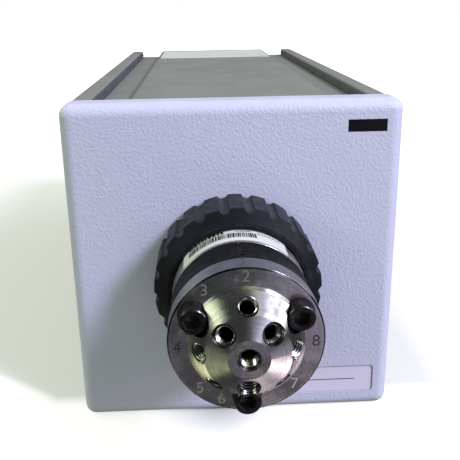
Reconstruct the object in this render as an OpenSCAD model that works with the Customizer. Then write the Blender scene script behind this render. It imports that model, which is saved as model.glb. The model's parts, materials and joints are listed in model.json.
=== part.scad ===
// Quick-change selection valve on its drive box: eight outer ports and one centre port.
// Millimetres, +Z up, the valve faces -Y, the origin lies under the middle of the whole part.

/* [Front cover] */
// Width of the front cover
cover_w = 104; // [96:0.5:112]
// Height of the front cover
cover_h = 106; // [98:0.5:114]
// Depth of the front cover, front face to rear rim
cover_d = 10; // [9:0.5:14]
// Rounding of the cover's front edges and corners
cover_edge_r = 3.75; // [2:0.25:5]
// Wall thickness of the cover
cover_wall = 3; // [2:0.1:3.1]
// Width of the status window
window_w = 11.8; // [8:0.1:16]
// Height of the status window
window_h = 3.6; // [3:0.1:6]
// Distance of the window's middle from the cover's right edge
window_in = 11.3; // [9:0.1:16]
// Distance of the window's middle from the cover's top edge
window_down = 8; // [6:0.1:12]
// Width of the blank plate at the lower right
plate_w = 30; // [20:0.5:36]
// Height of the blank plate
plate_h = 9.6; // [7:0.1:12]

/* [Box] */
// Length of the box from the cover's face to the rear panel's face
box_len = 243; // [220:1:280]
// Wall thickness of the box
wall = 2.4; // [2:0.1:3]
// Width of each side rail
rail_w = 7.7; // [6:0.1:10]
// Width of the channel beside each rail
channel_w = 11.3; // [9:0.1:14]
// Depth of the channels
channel_d = 3.4; // [2.5:0.1:4]
// Rounding along the inner edge of each rail
rail_edge_r = 1.1; // [0.5:0.1:1.9]
// Rounding along the shoulders of the raised middle
middle_r = 2.4; // [1:0.1:2.4]
// Thickness of the rear panel
panel_t = 3; // [2:0.1:4]
// Thickness of the front bulkhead
bulkhead_t = 4; // [3:0.1:4]
// Length of the label on the top face
label_len = 55; // [40:1:60]

/* [Union nut] */
// Outer radius over the grip lands
nut_r = 25; // [24.5:0.1:27]
// Length of the nut
nut_len = 19.6; // [18:0.1:20]
// Number of grip flutes
flutes = 21; // [16:1:26]
// Radius of the cutter that makes a flute
flute_r = 1.65; // [1.2:0.05:2]
// Depth of a flute
flute_depth = 1.25; // [0.8:0.05:1.5]
// Screw travel of the nut before it is free
nut_travel = 5; // [3:0.5:6]

/* [Valve head] */
// Radius of the barrel
barrel_r = 19.5; // [19:0.1:19.6]
// Distance of the barrel's front face from the cover
barrel_front = 29.8; // [28:0.1:32]
// Length of the black ring between barrel and stator
ring_len = 12.9; // [11:0.1:15]
// Radius of the stator flange
stator_r = 20; // [19.6:0.1:22]
// Thickness of the stator flange
flange_t = 6.5; // [5:0.1:8]
// Height of the stator's tip above its flange
dome_h = 9.5; // [8.5:0.1:11]
// Radius of the flat round the centre port
tip_flat_r = 5.2; // [4.6:0.1:6]
// Radius of the break between the two cones
break_r = 10.75; // [10:0.05:11.5]
// Height of the break above the flange
break_h = 7.3; // [6.5:0.1:8]
// Outer radius of the step at the foot of the cone
step_r = 15.05; // [14.5:0.05:16]
// Height of that step
step_h = 1.4; // [0.8:0.1:2]

/* [Ports] */
// Radius of the port bores, over the thread
port_r = 2.42; // [2:0.01:3]
// Radius of the countersink at a port's mouth
mouth_r = 2.97; // [2.6:0.01:3.4]
// Depth of the countersink
mouth_d = 1; // [0.5:0.1:1.5]
// Depth of the straight bore from the mouth
port_depth = 7; // [5:0.1:8]
// Radius of the circle of outer port mouths
outer_port_r = 12.6; // [12:0.1:13]
// Height of the outer port mouths above the flange
outer_port_h = 5.4; // [5:0.1:6]
// Radius of the circle of inner port mouths
inner_port_r = 8.45; // [8:0.05:9]
// Height of the inner port mouths above the flange
inner_port_h = 8.1; // [7.5:0.1:9]
// Radius of the circle where the passages meet the rotor
passage_circle_r = 1.95; // [1.5:0.05:2.5]
// Radius of a passage
passage_r = 0.25; // [0.2:0.05:0.4]

/* [Stator screws] */
// Radius of the screw circle
screw_circle_r = 15.3; // [15:0.1:16]
// Radius of a screw head
screw_head_r = 3.5; // [3:0.1:3.6]
// Height of a screw head
screw_head_h = 4; // [3:0.1:4.5]
// Radius of a screw's shank
screw_r = 2; // [1.5:0.1:2.1]

/* [Planetary drive] */
// Gear module
gear_m = 0.8; // [0.8:0.1:0.8]
// Teeth of the sun gear
sun_teeth = 18; // [18:1:18]
// Teeth of each planet gear
planet_teeth = 18; // [18:1:18]
// Thinning of each tooth for play
tooth_play = 0.12; // [0.08:0.01:0.16]

/* [Hidden] */
$fn = 96;
eps = 0.05;
body_w = cover_w - 0.6;
body_h = cover_h - 0.6;
axis_z = cover_h / 2;
shell_y0 = cover_d;
shell_y1 = box_len - panel_t;
rear_out = 2.1;
tip_t = barrel_front + ring_len + flange_t + dome_h;
mid_y = (box_len + rear_out - tip_t) / 2;

// levels along the valve axis, counted forwards from the cover's face
collar_tip = 9.8;
head_flange_t = 3;
washer_t = 0.75;
shoulder = collar_tip + head_flange_t + washer_t + 0.15;
stator_back = barrel_front + ring_len;
flange_top = stator_back + flange_t;
face_drop = 0.8;
seal_face = stator_back - face_drop;
head_tail = -10;
tang_len = 4.6;

// radii on the valve axis
collar_r = 22;
collar_bore = 18.05;
spigot_r = 18;
run_gap = 0.03;
shaft_r = 6;
cavity_r = 11.5;
ring_bore = 9.3;

// the drive line, counted backwards from the cover's face
gearbox_y = cover_d;
ring_y = 36;
motor_y = 50;
motor_half = 28.5;
bolt_xy = 23.57;
spindle_r = 7.5;
bearing_r = 16;
motor_shaft_r = 3.175;

ring_teeth = sun_teeth + 2 * planet_teeth;
planet_circle_r = gear_m * (sun_teeth + planet_teeth) / 2;
planet_angles = [90, 210, 330];
pressure = 20;

outer_ports = [0, 90, 180, 225, 315];
inner_ports = [45, 135, 270];
screw_angles = [30, 150, 270];
dowel_angles = [90, 210];

port_screw_x = 45.2;
port_screw_z = [19.5, body_h - 19.5];
window_x = cover_w / 2 - window_in;
window_z = cover_h - window_down;
plate_x = cover_w / 2 - 5.5 - plate_w / 2;
plate_z = 11;

// ---- placing ----
// y = 0 at the cover's face and growing backwards
module in_box() {
    translate([0, -mid_y, 0]) children();
}

// local +Z points forwards out of the cover, local +Y points up
module on_axis() {
    translate([0, -mid_y, axis_z]) rotate([90, 0, 0]) children();
}

// local +Z points backwards, counted from the cover's face
module behind() {
    translate([0, -mid_y, axis_z]) rotate([-90, 0, 0]) children();
}

// a flat shape in x and z carried from y0 back to y1
module along_y(y0, y1) {
    translate([0, y1, 0]) rotate([90, 0, 0]) linear_extrude(y1 - y0) children();
}

module corners(x, y) {
    for (sx = [-1, 1], sy = [-1, 1]) translate([sx * x, sy * y]) children();
}

// ---- flat shapes ----
module rounded(w, h, r) {
    square([w - 2 * r, h], center = true);
    square([w, h - 2 * r], center = true);
    corners(w / 2 - r, h / 2 - r) circle(r);
}

module band(r_out, r_in) {
    difference() {
        circle(r_out);
        circle(r_in);
    }
}

// the box section: rails, channels and a raised middle with rounded shoulders, above and below
module box_outline() {
    square([body_w - 2, body_h - 2 * channel_d], center = true);
    rounded(body_w - 2 * (rail_w + channel_w), body_h, middle_r);
    for (s = [-1, 1]) {
        translate([s * (body_w - rail_w) / 2, 0]) rounded(rail_w, body_h, 3);
        translate([s * (body_w / 2 - rail_w + rail_w / 4), 0]) rounded(rail_w / 2, body_h, rail_edge_r);
    }
    corners(body_w / 2 - rail_w, body_h / 2 - channel_d + 1.1) square([0.8, 0.5], center = true);
}

module box_hollow() {
    middle_w = body_w - 2 * (rail_w + channel_w);
    rail_in = rail_w - 2 * wall;
    square([body_w - 2 * wall, body_h - 2 * (channel_d + wall)], center = true);
    square([middle_w - 2 * wall, body_h - 2 * wall], center = true);
    corners(body_w / 2 - wall - rail_in / 2, 0) square([rail_in, body_h - 2 * wall - 2], center = true);
}

module screw_spots(r) {
    for (sx = [-1, 1], z = port_screw_z) translate([sx * port_screw_x, z - body_h / 2]) circle(r);
}

// ---- solids used more than once ----
module disc(r, z0, z1) {
    translate([0, 0, z0]) cylinder(r = r, h = z1 - z0);
}

module tube(r_out, r_in, z0, z1) {
    translate([0, 0, z0]) linear_extrude(z1 - z0) band(r_out, r_in);
}

module around(angles, r) {
    for (a = angles) rotate([0, 0, a]) translate([r, 0, 0]) children();
}

// cap screw with its seat at z = 0 and its shank below
module cap_screw(head_r, head_h, r, len, hex_af) {
    difference() {
        union() {
            translate([0, 0, head_h - 0.4]) cylinder(r1 = head_r, r2 = head_r - 0.4, h = 0.4);
            cylinder(r = head_r, h = head_h - 0.4);
            translate([0, 0, -len]) cylinder(r = r, h = len + eps);
        }
        translate([0, 0, head_h * 0.45]) cylinder(r = hex_af / sqrt(3), h = head_h, $fn = 6);
    }
}

// pan head screw with its seat at z = 0 and its shank below
module pan_screw(head_r, head_h, r, len) {
    difference() {
        union() {
            cylinder(r1 = head_r, r2 = head_r * 0.82, h = head_h);
            translate([0, 0, -len]) cylinder(r = r, h = len + eps);
        }
        for (a = [0, 90]) rotate([0, 0, a]) translate([0, 0, head_h])
            cube([head_r * 1.1, head_r * 0.22, head_h], center = true);
    }
}

// countersunk screw, its flat top at z = 0
module sunk_screw(head_r, head_h, r, len) {
    difference() {
        union() {
            translate([0, 0, -head_h]) cylinder(r1 = r, r2 = head_r, h = head_h);
            translate([0, 0, -len]) cylinder(r = r, h = len - head_h + eps);
        }
        translate([0, 0, -head_h * 0.7]) cylinder(r = r * 0.7, h = head_h, $fn = 6);
    }
}

module ball_bearing(r_in, r_out, w) {
    groove = (r_out - r_in) * 0.14;
    rotate_extrude() difference() {
        translate([r_in, 0]) square([r_out - r_in, w]);
        for (z = [0, w]) translate([(r_in + r_out) / 2, z])
            square([(r_out - r_in) * 0.42, 2 * groove], center = true);
    }
}

// ---- gears ----
function polar(r, a) = [r * cos(a), r * sin(a)];
function roll(r, base) = sqrt(max(0, pow(r / base, 2) - 1));
function unwind(t) = t * 180 / PI - atan(t);

// outline of an involute gear with a tooth at angle 0
function gear_outline(teeth, over, under, play) =
    let (pitch = gear_m * teeth / 2,
        base = pitch * cos(pressure),
        tip = pitch + over,
        root = pitch - under,
        half = 90 / teeth + unwind(tan(pressure)) - play / pitch * 90 / PI,
        t0 = roll(max(root, base), base),
        t1 = roll(tip, base),
        flank = [for (k = [0:3]) t0 + (t1 - t0) * k / 3])
    [for (i = [0:teeth - 1])
        let (a = i * 360 / teeth)
        each concat(
            root < base ? [polar(root, a - half)] : [],
            [for (t = flank) polar(base * sqrt(1 + t * t), a - half + unwind(t))],
            [for (k = [3:-1:0]) polar(base * sqrt(1 + pow(flank[k], 2)), a + half - unwind(flank[k]))],
            root < base ? [polar(root, a + half)] : [])];

module planet_gear(i) {
    color("SlateGray") behind() rotate([0, 0, planet_angles[i]]) translate([planet_circle_r, 0, ring_y + 0.3])
        difference() {
            linear_extrude(8.4) rotate(180 / planet_teeth)
                polygon(gear_outline(planet_teeth, gear_m, 1.25 * gear_m, tooth_play));
            translate([0, 0, -1]) cylinder(r = 2.5 + run_gap, h = 11);
        }
}

// ---- the box ----
module housing_shell() {
    color("DimGray") in_box() translate([0, 0, body_h / 2]) along_y(shell_y0, shell_y1) difference() {
        union() {
            difference() {
                box_outline();
                box_hollow();
            }
            intersection() {
                union() {
                    screw_spots(3.6);
                    for (s = [-1, 1], z = port_screw_z) translate([s * (port_screw_x + 3), z - body_h / 2])
                        square([6, 7.2], center = true);
                }
                square([body_w - 2, body_h - 2], center = true);
            }
        }
        screw_spots(1.65);
    }
}

// the cover's outside: rounded front edges that meet in ball corners
module cover_block() {
    r = cover_edge_r;
    x = cover_w / 2 - r;
    z = cover_h / 2 - r;
    translate([0, 0, cover_h / 2]) {
        along_y(r, cover_d) rounded(cover_w, cover_h, r);
        along_y(0, r + 1) square([2 * x, 2 * z], center = true);
        for (s = [-1, 1]) {
            translate([-x, r, s * z]) rotate([0, 90, 0]) cylinder(r = r, h = 2 * x);
            translate([s * x, r, -z]) cylinder(r = r, h = 2 * z);
            for (t = [-1, 1]) translate([s * x, r, t * z]) sphere(r);
        }
    }
}

module front_cover() {
    color("Lavender") in_box() difference() {
        cover_block();
        difference() {
            translate([0, 0, cover_h / 2]) along_y(cover_wall, cover_d + 1)
                rounded(cover_w - 2 * cover_wall, cover_h - 2 * cover_wall, 2);
            for (s = [-1, 1]) translate([s * 44.5, 0, cover_h / 2]) along_y(0, cover_d - 0.5) circle(2);
        }
        translate([0, 0, cover_h / 2]) along_y(-1, cover_wall + 1) circle(collar_r + 0.6);
        translate([window_x, 0, window_z]) along_y(-1, cover_wall + 1)
            square([window_w + 0.2, window_h + 0.2], center = true);
        translate([plate_x, 0, plate_z]) along_y(-1, 0.95) rounded(plate_w + 0.3, plate_h + 0.3, 1.25);
    }
}

module status_window() {
    color("Black") in_box() translate([window_x, 0, window_z]) {
        along_y(0.15, cover_wall + eps) square([window_w, window_h], center = true);
        along_y(cover_wall, cover_wall + 0.5) rounded(window_w + 3, window_h + 3, 1);
    }
}

module status_board() {
    color("DarkGreen") in_box() translate([window_x, 0, window_z]) {
        along_y(cover_d - bulkhead_t - 1.2, cover_d - bulkhead_t) square([16, 8], center = true);
        for (s = [-1, 1]) translate([s * 3, 0, 0])
            along_y(cover_wall + 0.6, cover_d - bulkhead_t - 1) square([3, 1.6], center = true);
    }
}

module name_plate() {
    color("White") in_box() translate([plate_x, 0, plate_z]) along_y(0.4, 0.95) rounded(plate_w, plate_h, 1.1);
}

module top_label() {
    color("White") in_box() translate([0, box_len - 7 - label_len / 2, body_h])
        linear_extrude(0.15) rounded(60, label_len, 1.5);
}

module rear_panel() {
    color("Gray") in_box() difference() {
        translate([0, 0, body_h / 2]) along_y(shell_y1, box_len) difference() {
            box_outline();
            screw_spots(1.8);
        }
        translate([0, 0, 0]) along_y(shell_y1 - 1, box_len + 1) {
            translate([-26, 30]) circle(8.1);
            for (x = [2, 24]) translate([x, 30]) square([16.3, 14.3], center = true);
        }
    }
}

module rear_screws() {
    color("Silver") in_box() for (sx = [-1, 1], z = port_screw_z)
        translate([sx * port_screw_x, box_len, z]) rotate([-90, 0, 0]) pan_screw(3, 2.1, 1.6, 16);
}

module power_inlet() {
    color("Black") in_box() translate([-26, 0, 30]) difference() {
        union() {
            along_y(box_len, box_len + 2) circle(9.5);
            along_y(box_len - 14, box_len + eps) circle(8);
        }
        along_y(box_len - 9, box_len + 3) circle(6.2);
    }
}

module bus_sockets() {
    color("Black") in_box() for (x = [2, 24]) translate([x, 0, 30]) difference() {
        union() {
            along_y(box_len, box_len + 1.2) rounded(19, 17, 1);
            along_y(box_len - 18, box_len + eps) square([16, 14], center = true);
        }
        along_y(box_len - 14, box_len + 2) {
            square([11.9, 8], center = true);
            translate([0, -5]) square([6.2, 3], center = true);
        }
    }
}

// ---- front frame ----
module front_bulkhead() {
    color("Silver") in_box() difference() {
        translate([0, 0, cover_h / 2]) along_y(cover_d - bulkhead_t, cover_d) difference() {
            rounded(cover_w - 2 * cover_wall - 0.6, cover_h - 2 * cover_wall - 0.6, 2);
            circle(spigot_r + 0.3);
            translate([0, -0.3]) screw_spots(1.8);
            for (s = [-1, 1]) translate([s * 44.5, 0]) circle(2.1);
            corners(bolt_xy, bolt_xy) circle(2.1);
            for (a = [0, 90, 180, 270]) rotate(a) translate([25.5, 0]) circle(1.55);
        }
        translate([0, cover_d - bulkhead_t, cover_h / 2]) rotate([-90, 0, 0]) corners3(bolt_xy)
            translate([0, 0, -0.02]) cylinder(r1 = 4.05, r2 = 2.05, h = 2.1);
    }
}

module corners3(d) {
    for (sx = [-1, 1], sy = [-1, 1]) translate([sx * d, sy * d, 0]) children();
}

module bulkhead_screws() {
    color("Silver") in_box() for (sx = [-1, 1], z = port_screw_z)
        translate([sx * port_screw_x, cover_d - bulkhead_t, z]) rotate([90, 0, 0]) pan_screw(2.8, 2.2, 1.6, 18);
}

module drive_collar() {
    color("Gainsboro") on_axis() difference() {
        union() {
            tube(29, collar_bore, -cover_d + bulkhead_t, -cover_wall - 0.2);
            tube(collar_r, collar_bore, -cover_wall - 1, collar_tip);
        }
        around([0, 90, 180, 270], 25.5) {
            disc(1.6, -20, 0);
            translate([0, 0, -cover_wall - 1.7]) cylinder(r1 = 1.6, r2 = 2.85, h = 1.51);
        }
        for (a = [0, 180]) rotate([0, 0, a]) translate([collar_bore - 1, -2.1, collar_tip - 3.2]) cube([6, 4.2, 5]);
    }
}

module collar_screws() {
    color("Silver") on_axis() around([0, 90, 180, 270], 25.5) translate([0, 0, -cover_wall - 0.25])
        sunk_screw(2.7, 1.35, 1.5, 6.6);
}

// ---- gearbox ----
module square_block(z0, z1) {
    translate([0, 0, z0]) linear_extrude(z1 - z0) rounded(2 * motor_half, 2 * motor_half, 5);
}

module gearbox_housing() {
    color("LightGray") behind() difference() {
        square_block(gearbox_y, ring_y);
        disc(spindle_r + 0.7, gearbox_y - 1, ring_y);
        disc(bearing_r + 0.01, gearbox_y + 3, ring_y);
        disc(20.5, ring_y - 4.6, ring_y + 1);
        corners3(bolt_xy) {
            disc(2.02, gearbox_y - 1, gearbox_y + 12);
            disc(2.02, ring_y - 10, ring_y + 1);
        }
    }
}

module gearbox_screws() {
    color("Silver") behind() corners3(bolt_xy) translate([0, 0, cover_d - bulkhead_t + 0.05])
        mirror([0, 0, 1]) sunk_screw(3.9, 1.95, 2, 14);
}

module spindle_bearings() {
    color("Silver") behind() for (k = [0, 1]) translate([0, 0, gearbox_y + 3 + 9.1 * k])
        ball_bearing(spindle_r + run_gap, bearing_r, 9);
}

module output_spindle() {
    color("Silver") behind() difference() {
        union() {
            disc(spindle_r, -head_tail + 0.2, ring_y - 4);
            disc(19.6, ring_y - 4.2, ring_y - 0.6);
            around(planet_angles, planet_circle_r) disc(2.5, ring_y - 1, ring_y + 9);
        }
        translate([-spindle_r - 1, -2, -head_tail - 1]) cube([2 * spindle_r + 2, 4, tang_len + 1.2]);
    }
}

module ring_gear() {
    color("Silver") behind() difference() {
        square_block(ring_y, motor_y);
        translate([0, 0, ring_y - 1]) linear_extrude(11)
            polygon(gear_outline(ring_teeth, 1.25 * gear_m, gear_m, -tooth_play));
        disc(8, ring_y, motor_y + 1);
        disc(19.1, motor_y - 1.7, motor_y + 1);
        corners3(bolt_xy) disc(2.2, ring_y - 1, motor_y + 1);
    }
}

module sun_gear() {
    color("DimGray") behind() difference() {
        union() {
            translate([0, 0, ring_y + 0.3]) linear_extrude(8.4) rotate(180 / sun_teeth)
                polygon(gear_outline(sun_teeth, gear_m, 1.25 * gear_m, tooth_play));
            disc(5.8, ring_y + 8.6, ring_y + 11.4);
        }
        disc(motor_shaft_r, ring_y, ring_y + 12);
    }
}

// ---- motor ----
module motor_shaft() {
    color("Silver") behind() {
        disc(motor_shaft_r, ring_y + 0.5, motor_y + 58);
        disc(5, motor_y + 7.2, motor_y + 42.8);
    }
}

module rotor_magnet() {
    color("DimGray") behind() difference() {
        union() for (k = [0, 1]) translate([0, 0, motor_y + 9 + 16.2 * k]) linear_extrude(15.6)
            rotate(3.6 * k) difference() {
                circle(14);
                for (a = [0:7.2:359]) rotate(a) translate([14.2, 0]) circle(0.5, $fn = 8);
            }
        disc(5, motor_y, motor_y + 50);
    }
}

module motor_bearings() {
    color("Silver") behind() for (z = [motor_y + 2, motor_y + 43]) translate([0, 0, z])
        ball_bearing(motor_shaft_r + run_gap, 9.5, 5);
}

module motor_front_cap() {
    color("Silver") behind() difference() {
        union() {
            square_block(motor_y, motor_y + 8);
            disc(19.05, motor_y - 1.6, motor_y + 1);
        }
        disc(6.4, motor_y - 2, motor_y + 9);
        disc(9.5, motor_y + 2, motor_y + 9);
        disc(22, motor_y + 7.2, motor_y + 9);
        corners3(bolt_xy) disc(2.2, motor_y - 1, motor_y + 9);
    }
}

module motor_section() {
    intersection() {
        square([2 * motor_half - 0.6, 2 * motor_half - 0.6], center = true);
        rotate(45) square([58, 58], center = true);
    }
}

module motor_core() {
    color("Gray") behind() {
        translate([0, 0, motor_y + 8]) linear_extrude(34) difference() {
            motor_section();
            circle(14.15);
            for (a = [22.5:45:360]) rotate(a) translate([17.6, 0]) square([6.4, 4.6], center = true);
        }
    }
}

module motor_rear_cap() {
    color("Silver") behind() difference() {
        translate([0, 0, motor_y + 42]) linear_extrude(10) motor_section();
        disc(22, motor_y + 41, motor_y + 42.8);
        disc(9.5, motor_y + 41, motor_y + 48);
        disc(6, motor_y + 41, motor_y + 53);
    }
}

module motor_screws() {
    color("Silver") behind() corners3(bolt_xy) translate([0, 0, motor_y + 8])
        cap_screw(3.5, 4, 2, motor_y + 8 - ring_y + 9, 3);
}

module encoder_disc() {
    color("Silver") behind() difference() {
        union() {
            disc(14, motor_y + 55, motor_y + 55.4);
            disc(5.5, motor_y + 53, motor_y + 57);
        }
        disc(motor_shaft_r, motor_y + 52, motor_y + 60);
        around([0:30:359], 11.5) disc(0.8, motor_y + 54, motor_y + 56);
    }
}

module encoder_board() {
    color("DarkGreen") behind() {
        translate([0, 0, motor_y + 59]) linear_extrude(1.2) rounded(34, 34, 2);
        translate([11.5, 0, motor_y + 56.4]) linear_extrude(2.7) square([5, 7], center = true);
    }
}

module encoder_cover() {
    color("DimGray") behind() difference() {
        translate([0, 0, motor_y + 52]) linear_extrude(12) rounded(40, 40, 4);
        translate([0, 0, motor_y + 51]) linear_extrude(11.6) rounded(37, 37, 3);
    }
}

// ---- electronics ----
board_x = 40;
board_y = [66, 216];
board_z = [14, 92];
board_hole = [70, 24];

module in_board_plane() {
    in_box() translate([board_x, board_y[0], board_z[0]]) rotate([90, 0, 90]) children();
}

module controller_board() {
    color("DarkGreen") in_board_plane() linear_extrude(1.6) difference() {
        square([board_y[1] - board_y[0], board_z[1] - board_z[0]]);
        translate([75, 39]) corners(board_hole[0], board_hole[1]) circle(1.6);
    }
}

module board_parts() {
    color("DimGray") in_board_plane() mirror([0, 0, 1]) {
        translate([52, 36, 0]) cube([22, 22, 2]);
        translate([90, 46, 0]) cube([14, 10, 1.6]);
        translate([14, 40, 0]) cube([18, 12, 9]);
        for (k = [0:2]) translate([20 + 16 * k, 18, 0]) cylinder(r = 5, h = 13);
        for (k = [0:3]) translate([84 + 12 * k, 16, 0]) cube([8, 12, 2.4]);
        translate([128, 18, 0]) cube([9, 34, 7]);
    }
}

module board_standoffs() {
    color("Silver") in_board_plane() translate([75, 39, 1.6]) corners(board_hole[0], board_hole[1])
        linear_extrude(body_w / 2 - wall - board_x - 1.6) difference() {
            circle(3.2, $fn = 6);
            circle(1.55);
        }
}

module board_screws() {
    color("Silver") in_board_plane() translate([75, 39, 0])
        corners(board_hole[0], board_hole[1]) rotate([180, 0, 0])
        pan_screw(2.8, 1.9, 1.5, 7);
}

// ---- valve head ----
module head_body() {
    color("Silver") on_axis() difference() {
        union() {
            disc(spigot_r, head_tail, collar_tip + 1);
            disc(21.6, collar_tip, collar_tip + head_flange_t);
            disc(barrel_r, collar_tip + 1, barrel_front - 0.6);
            translate([0, 0, barrel_front - 0.6]) cylinder(r1 = barrel_r, r2 = barrel_r - 0.6, h = 0.6);
            for (a = [0, 180]) rotate([0, 0, a]) translate([spigot_r - 1, -2, collar_tip - 3])
                cube([4.6, 4, 3.5]);
        }
        disc(cavity_r, 2, barrel_front + 1);
        disc(shaft_r + run_gap, head_tail - 1, 3);
        around(screw_angles, screw_circle_r) disc(screw_r + 0.02, barrel_front - 9, barrel_front + 1);
    }
}

module head_label() {
    color("White") on_axis() translate([0, 0, 17]) linear_extrude(11) intersection() {
        band(barrel_r + 0.12, barrel_r);
        polygon([[0, 0], polar(40, 48), polar(40, 95), polar(40, 143.5)]);
    }
}

module spring_washers() {
    color("Silver") on_axis() for (k = [0:3]) translate([0, 0, 2 + 1.9 * k]) rotate_extrude()
        polygon(k % 2 == 0
            ? [[6.3, 0.9], [11.3, 0], [11.3, 0.9], [6.3, 1.8]]
            : [[6.3, 0], [11.3, 0.9], [11.3, 1.8], [6.3, 0.9]]);
}

module thrust_bearing() {
    color("Silver") on_axis() {
        tube(11.3, 6.2, 9.8, 10.8);
        tube(11.3, 6.2, 13.4, 14.4);
        tube(10.9, 6.6, 11.7, 12.5);
        around([0:30:359], 8.8) translate([0, 0, 12.1]) sphere(r = 1.27);
    }
}

module shaft_bush() {
    color("Ivory") on_axis() tube(cavity_r, 7 + run_gap, barrel_front - 8, barrel_front - 0.4);
}

module rotor_shaft() {
    color("Silver") on_axis() {
        disc(shaft_r, head_tail, 15);
        disc(10.5, 14.4, 18);
        disc(7, 17, 37);
        disc(8.5, 36, seal_face - 3);
        around([0, 120, 240], 5) disc(0.8, seal_face - 3.5, seal_face - 1.2);
        intersection() {
            disc(shaft_r, head_tail - tang_len, head_tail + 1);
            translate([0, 0, head_tail]) cube([2 * shaft_r, 3.9, 3 * tang_len], center = true);
        }
    }
}

module rotor_seal() {
    color("Ivory") on_axis() difference() {
        disc(7.8, seal_face - 3, seal_face - 0.02);
        around([0, 120, 240], 5) disc(0.8, seal_face - 4, seal_face - 1.2);
        translate([-passage_r, -passage_r, seal_face - 0.4])
            cube([passage_circle_r + 2 * passage_r, 2 * passage_r, 1]);
    }
}

module stator_ring() {
    color("Black") on_axis() difference() {
        tube(barrel_r + 0.1, ring_bore, barrel_front, stator_back);
        tube(barrel_r + 1, barrel_r - 0.3, stator_back - 3.4, stator_back - 3);
        translate([-0.85, barrel_r - 0.35, barrel_front - 1]) cube([0.3, 2, ring_len + 2]);
        translate([-0.75, barrel_r - 0.45, stator_back - 3.9]) cube([1.1, 2, 1.4]);
        around(screw_angles, screw_circle_r) disc(screw_r + 0.2, barrel_front - 1, stator_back + 1);
        around(dowel_angles, screw_circle_r) disc(1.25, stator_back - 4, stator_back + 1);
    }
}

// a coned port: z = 0 at the mouth, +Z pointing out
module port_cut(to_face) {
    disc(port_r, -port_depth, 8);
    translate([0, 0, -mouth_d]) cylinder(r1 = port_r, r2 = port_r + 9 * (mouth_r - port_r), h = 9 * mouth_d);
    translate([0, 0, -port_depth - 3.8]) cylinder(r1 = 0.8, r2 = 2.2, h = 3.8 + eps);
    disc(passage_r, -to_face - 1, -port_depth);
}

// ports leaning in to a common circle on the sealing face
module leaning_ports(angles, r, h) {
    drop = h + flange_t + face_drop;
    lean = atan((r - passage_circle_r) / drop);
    around(angles, r) translate([0, 0, flange_top + h]) rotate([0, lean, 0]) port_cut(drop / cos(lean));
}

module stator() {
    color("LightGray") on_axis() difference() {
        rotate_extrude() polygon([
            [0, seal_face], [7.6, seal_face], [7.6, stator_back], [stator_r, stator_back],
            [stator_r, flange_top - 0.35], [stator_r - 0.35, flange_top], [step_r, flange_top],
            [step_r - 0.35, flange_top + step_h], [break_r, flange_top + break_h],
            [tip_flat_r, tip_t], [0, tip_t]]);
        leaning_ports(outer_ports, outer_port_r, outer_port_h);
        leaning_ports(inner_ports, inner_port_r, inner_port_h);
        translate([0, 0, tip_t]) port_cut(dome_h + flange_t + face_drop);
        around(screw_angles, screw_circle_r) {
            disc(screw_head_r + 0.35, flange_top, tip_t + 1);
            disc(screw_r + 0.2, stator_back - 1, flange_top + 1);
        }
        around(dowel_angles, screw_circle_r) disc(1.25, stator_back - 1, stator_back + 3.5);
    }
}

module dowel_pins() {
    color("Silver") on_axis() around(dowel_angles, screw_circle_r) disc(1.25, stator_back - 3.9, stator_back + 3.4);
}

module stator_screws() {
    color("Black") on_axis() around(screw_angles, screw_circle_r) translate([0, 0, flange_top])
        cap_screw(screw_head_r, screw_head_h, screw_r, flange_t + ring_len + 8, 3.8);
}

module thrust_washer() {
    color("Ivory") on_axis() tube(21.7, 19.75, collar_tip + head_flange_t + 0.05, shoulder - 0.1 + 0.05);
}

module union_nut() {
    front = 0.4 + nut_len;
    lip_r = barrel_r + 0.5;
    color("DarkSlateGray") on_axis() difference() {
        rotate_extrude() polygon([
            [collar_r + 0.06, 0.4], [nut_r - 0.5, 0.4], [nut_r, 0.9], [nut_r, front - 4],
            [lip_r + 1.5, front - 0.5], [lip_r + 1.15, front - 0.5], [lip_r + 1, front],
            [lip_r, front], [lip_r, shoulder], [collar_r + 0.06, shoulder]]);
        for (k = [0:flutes - 1]) rotate([0, 0, 90.2 + (k + 0.5) * 360 / flutes])
            translate([nut_r - flute_depth + flute_r, 0, -1]) cylinder(r = flute_r, h = nut_len + 4, $fn = 32);
    }
}

housing_shell();
front_cover();
status_window();
status_board();
name_plate();
top_label();
rear_panel();
rear_screws();
power_inlet();
bus_sockets();
front_bulkhead();
bulkhead_screws();
drive_collar();
collar_screws();
gearbox_housing();
gearbox_screws();
spindle_bearings();
output_spindle();
planet_gear(0);  // planet_gear_1
planet_gear(1);  // planet_gear_2
planet_gear(2);  // planet_gear_3
ring_gear();
sun_gear();
motor_shaft();
rotor_magnet();
motor_bearings();
motor_front_cap();
motor_core();
motor_rear_cap();
motor_screws();
encoder_disc();
encoder_board();
encoder_cover();
controller_board();
board_parts();
board_standoffs();
board_screws();
head_body();
head_label();
spring_washers();
thrust_bearing();
shaft_bush();
rotor_shaft();
rotor_seal();
stator_ring();
stator();
dowel_pins();
stator_screws();
thrust_washer();
union_nut();
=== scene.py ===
import json
import math
import random

import bpy
from mathutils import Matrix, Vector


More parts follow.
